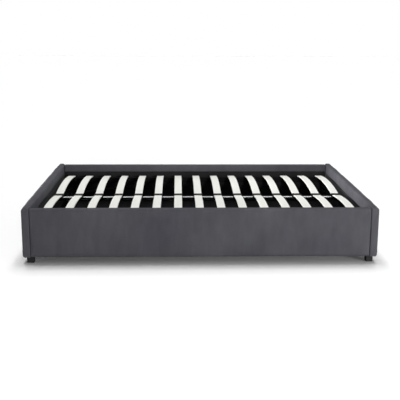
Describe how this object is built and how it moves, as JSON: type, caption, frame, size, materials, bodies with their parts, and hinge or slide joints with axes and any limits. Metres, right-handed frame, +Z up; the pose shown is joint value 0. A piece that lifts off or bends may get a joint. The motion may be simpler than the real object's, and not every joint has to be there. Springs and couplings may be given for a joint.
{
  "type": "double bed",
  "caption": "Upholstered double bed base with low padded walls round a slatted platform, which lifts at its foot end on gas struts over a storage box.",
  "frame": {"origin": "on the floor under the middle of the bed", "axes": "+X along the bed from head to foot, +Y across it from the near rail to the far rail, +Z up"},
  "size_m": [2, 1.45, 0.318],
  "materials": {
    "velvet": "short-pile dark grey velvet over thin foam",
    "board_wood": "raw board core",
    "lining_black": "black non-woven lining",
    "foot_black": "matt black",
    "zinc_steel": "zinc plated",
    "bolt_steel": "zinc plated",
    "batten_black": "black stained",
    "floor_black": "black faced hardboard",
    "frame_black": "satin black powder coat",
    "holder_black": "moulded black",
    "strut_black": "satin black",
    "rod_dark": "black nitrided steel",
    "slat_white": "cream-white laminated wood, satin"
  },
  "bodies": {
    "base": {"head_board": "board_wood", "foot_board": "board_wood", "near_side_board": "board_wood", "far_side_board": "board_wood", "head_cover": "velvet", "foot_cover": "velvet", "near_side_cover": "velvet", "far_side_cover": "velvet", "inner_linings": "lining_black", "feet": "foot_black", "corner_brackets": "zinc_steel", "frame_bolts": "bolt_steel", "floor_bearers": "batten_black", "storage_floor_panels": "floor_black", "platform_ledgers": "batten_black", "hinge_plates": "frame_black", "hinge_pins": "bolt_steel"},
    "platform": {"near_side_tube": "frame_black", "far_side_tube": "frame_black", "head_tube": "frame_black", "foot_tube": "frame_black", "centre_bar": "zinc_steel", "lift_lugs": "frame_black", "slat_end_caps": "holder_black", "slat_centre_caps": "holder_black", "near_slat_01": "slat_white", "near_slat_02": "slat_white", "near_slat_03": "slat_white", "near_slat_04": "slat_white", "near_slat_05": "slat_white", "near_slat_06": "slat_white", "near_slat_07": "slat_white", "near_slat_08": "slat_white", "near_slat_09": "slat_white", "near_slat_10": "slat_white", "near_slat_11": "slat_white", "near_slat_12": "slat_white", "near_slat_13": "slat_white", "near_slat_14": "slat_white", "near_slat_15": "slat_white", "far_slat_01": "slat_white", "far_slat_02": "slat_white", "far_slat_03": "slat_white", "far_slat_04": "slat_white", "far_slat_05": "slat_white", "far_slat_06": "slat_white", "far_slat_07": "slat_white", "far_slat_08": "slat_white", "far_slat_09": "slat_white", "far_slat_10": "slat_white", "far_slat_11": "slat_white", "far_slat_12": "slat_white", "far_slat_13": "slat_white", "far_slat_14": "slat_white", "far_slat_15": "slat_white"},
    "near_strut_tube": {"near_strut_tube": "strut_black"},
    "near_strut_rod": {"near_strut_rod": "rod_dark"},
    "far_strut_tube": {"far_strut_tube": "strut_black"},
    "far_strut_rod": {"far_strut_rod": "rod_dark"}
  },
  "joints": [
    {"name": "platform_lift", "type": "hinge", "parent": "base", "child": "platform", "pos_m": [-0.87, 0, 0.2095], "axis": [0, -1, 0], "range_deg": [0, 33]},
    {"name": "near_strut_swing", "type": "hinge", "parent": "base", "child": "near_strut_tube", "pos_m": [-0.847, -0.6575, 0.1125], "axis": [0, -1, 0], "range_deg": [0, 32]},
    {"name": "near_strut_extend", "type": "slide", "parent": "near_strut_tube", "child": "near_strut_rod", "axis": [0.9918, 0, 0.1278], "range_m": [0, 0.0562]},
    {"name": "far_strut_swing", "type": "hinge", "parent": "base", "child": "far_strut_tube", "pos_m": [-0.847, 0.6575, 0.1125], "axis": [0, -1, 0], "range_deg": [0, 32]},
    {"name": "far_strut_extend", "type": "slide", "parent": "far_strut_tube", "child": "far_strut_rod", "axis": [0.9918, 0, 0.1278], "range_m": [0, 0.0562]}
  ],
  "couplings": [
    {"joint": "near_strut_swing", "follows": "platform_lift", "ratio": 0.96526},
    {"joint": "near_strut_extend", "follows": "platform_lift", "m_per_rad": 0.09716},
    {"joint": "far_strut_swing", "follows": "platform_lift", "ratio": 0.96526},
    {"joint": "far_strut_extend", "follows": "platform_lift", "m_per_rad": 0.09716}
  ]
}
